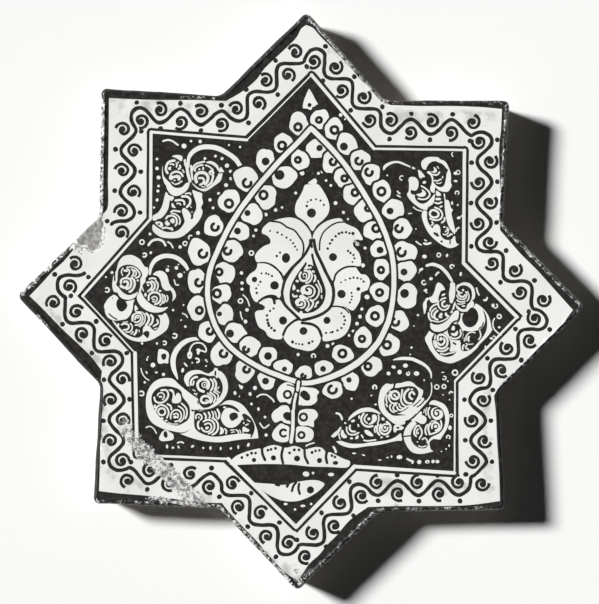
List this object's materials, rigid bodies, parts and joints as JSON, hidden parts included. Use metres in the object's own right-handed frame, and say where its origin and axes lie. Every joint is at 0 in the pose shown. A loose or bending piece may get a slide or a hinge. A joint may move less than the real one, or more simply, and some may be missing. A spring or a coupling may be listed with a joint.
{
  "type": "star-shaped wall tile",
  "caption": "Flat star-shaped glazed wall tile with sides that lean in to the back, a rolled glaze edge and hand-painted dark ornament, set in mortar beside like tiles.",
  "frame": {"origin": "middle of the back face, which lies on the floor or on the mortar bed", "axes": "+Z out of the glazed face, +Y towards the top point, +X towards the right point"},
  "size_m": [0.2004, 0.2045, 0.015],
  "materials": {
    "painted_glaze": "pale tin glaze with dark painted ornament, worn along the edges"
  },
  "bodies": {
    "root": {"star_tile": "painted_glaze"}
  },
  "joints": []
}
